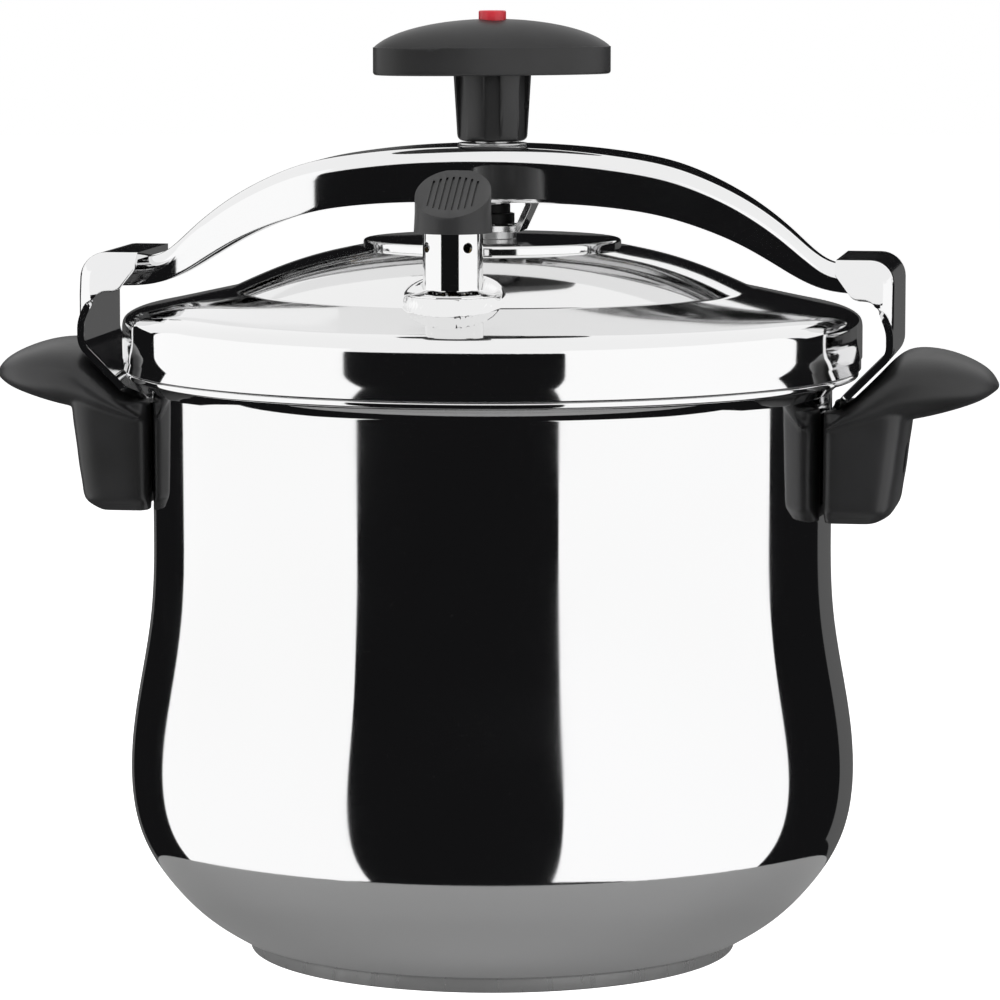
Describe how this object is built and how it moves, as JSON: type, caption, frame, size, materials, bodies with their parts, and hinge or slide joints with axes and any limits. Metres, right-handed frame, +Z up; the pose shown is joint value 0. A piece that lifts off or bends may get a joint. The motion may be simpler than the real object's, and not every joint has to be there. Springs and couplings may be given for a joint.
{
  "type": "stovetop pressure cooker",
  "caption": "Polished steel stovetop pressure cooker: bellied pot, domed lid clamped by a bow and T-knob screw, side hooks and black grips, pressure valve, safety valve and indicator button.",
  "frame": {"origin": "centre of the flat underside, where the pot stands on the hob", "axes": "+X along the bow and through both side handles, -Y towards the working valve, +Z up"},
  "size_m": [0.334, 0.2436, 0.31],
  "materials": {
    "polished_stainless": "mirror polished stainless steel",
    "brushed_stainless": "fine circular brushing",
    "turned_steel": "turned bright steel",
    "spring_steel": "drawn wire",
    "core_aluminium": "satin",
    "brass": "turned",
    "black_bakelite": "satin moulded phenolic",
    "black_nylon": "moulded",
    "grey_silicone": "soft matte",
    "indicator_red": "gloss"
  },
  "bodies": {
    "pot": {"pot_body": "polished_stainless", "base_core": "core_aluminium", "base_cap": "brushed_stainless", "left_hook": "polished_stainless", "right_hook": "polished_stainless", "left_handle": "black_bakelite", "right_handle": "black_bakelite", "handle_studs": "turned_steel", "handle_screws": "turned_steel", "handle_washers": "turned_steel"},
    "lid": {"lid_shell": "polished_stainless", "lid_gasket": "grey_silicone", "centre_disc": "polished_stainless", "cage_boss": "brushed_stainless", "bow_cage": "polished_stainless", "cage_rivets": "turned_steel", "chimney_flange": "polished_stainless", "valve_chimney": "polished_stainless", "chimney_seal": "grey_silicone", "chimney_nut": "turned_steel", "steam_filter": "turned_steel", "safety_body": "brass", "safety_plug": "turned_steel", "safety_seal": "grey_silicone", "safety_nut": "turned_steel", "safety_spring": "spring_steel", "indicator_diaphragm": "grey_silicone"},
    "bow": {"bow": "polished_stainless", "bow_bush": "turned_steel", "bush_ring": "turned_steel"},
    "knob": {"spindle": "turned_steel", "spindle_foot": "black_nylon", "t_knob": "black_bakelite", "knob_set_screws": "turned_steel", "indicator_spring": "spring_steel"},
    "indicator": {"indicator_button": "indicator_red", "indicator_rod": "turned_steel"},
    "valve_sleeve": {"valve_sleeve": "polished_stainless", "valve_weight": "brass"},
    "valve_cap": {"valve_cap": "black_bakelite"},
    "safety_pin": {"safety_pin": "turned_steel"}
  },
  "joints": [
    {"name": "lid_slide", "type": "slide", "parent": "pot", "child": "lid", "axis": [0, 1, 0], "range_m": [0, 0.26]},
    {"name": "knob_turn", "type": "hinge", "parent": "lid", "child": "knob", "pos_m": [0, 0, 0.27], "axis": [0, 0, 1], "range_deg": [0, 360]},
    {"name": "bow_drop", "type": "slide", "parent": "lid", "child": "bow", "axis": [0, 0, -1], "range_m": [0, 0.003]},
    {"name": "indicator_rise", "type": "slide", "parent": "lid", "child": "indicator", "axis": [0, 0, 1], "range_m": [-0.0025, 0.003], "stiffness_N_per_m": 60, "deforming": ["indicator_spring"]},
    {"name": "valve_lift", "type": "slide", "parent": "lid", "child": "valve_sleeve", "axis": [0, 0, 1], "range_m": [0, 0.012]},
    {"name": "valve_cap_turn", "type": "hinge", "parent": "valve_sleeve", "child": "valve_cap", "pos_m": [0, -0.079, 0.25], "axis": [0, 0, 1], "range_deg": [-90, 90]},
    {"name": "safety_lift", "type": "slide", "parent": "lid", "child": "safety_pin", "axis": [0, 0, 1], "range_m": [0, 0.003], "stiffness_N_per_m": 400, "deforming": ["safety_spring"]}
  ],
  "couplings": [
    {"joint": "knob_turn", "follows": "bow_drop", "rad_per_m": 2094.3}
  ]
}
